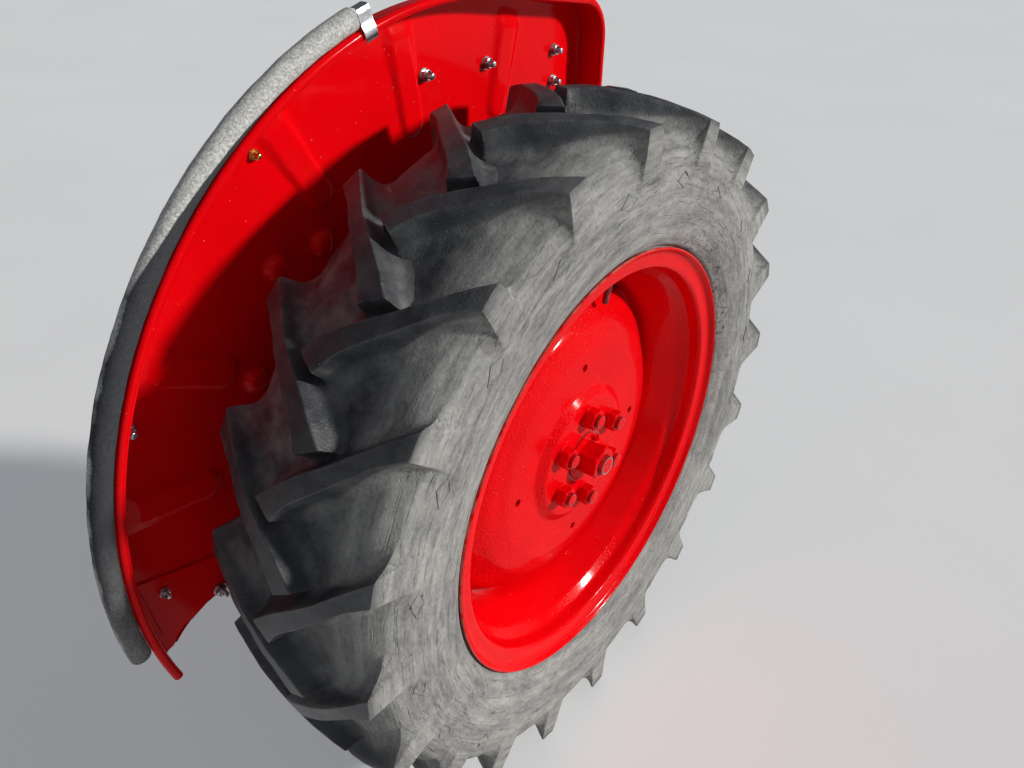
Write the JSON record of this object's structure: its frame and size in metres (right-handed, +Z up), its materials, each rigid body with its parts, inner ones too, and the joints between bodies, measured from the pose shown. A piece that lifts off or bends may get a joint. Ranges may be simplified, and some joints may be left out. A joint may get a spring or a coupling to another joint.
{
  "type": "tractor rear wheel with axle end and mudguard",
  "caption": "Left rear wheel of a small farm tractor on its axle end: lugged tyre, drop-centre rim, pressed disc and hub that turn freely beside a pressed mudguard with a foam edge seal.",
  "frame": {"origin": "centre of the axle housing's inner flange face, on the axle's axis", "axes": "+Y outboard along the axle to the wheel's outer side, +X forward, +Z up"},
  "size_m": [0.9533, 0.395, 0.9542],
  "materials": {
    "red_paint": "thick gloss brush and spray paint",
    "tyre": "weathered matt rubber",
    "foam": "speckled closed-cell foam",
    "zinc": "bright zinc plate",
    "yellow_zinc": "yellow zinc plate",
    "bare_steel": "machined steel",
    "valve_rubber": "black rubber"
  },
  "bodies": {
    "axle_end": {"axle_housing": "red_paint", "carrier_screws": "red_paint", "foam_seal": "foam", "guard_bolts": "zinc", "lower_stay": "red_paint", "mudguard": "red_paint", "mudguard_carrier": "red_paint"},
    "wheel": {"axle_shaft": "bare_steel", "centre_nut": "red_paint", "hub": "red_paint", "rim": "red_paint", "tyre": "tyre", "valve_stem": "valve_rubber", "wheel_disc": "red_paint", "wheel_nuts": "red_paint"}
  },
  "joints": [
    {"name": "wheel_turn", "type": "hinge", "parent": "axle_end", "child": "wheel", "pos_m": [0, 0.285, 0], "axis": [0, 1, 0], "continuous": true}
  ]
}
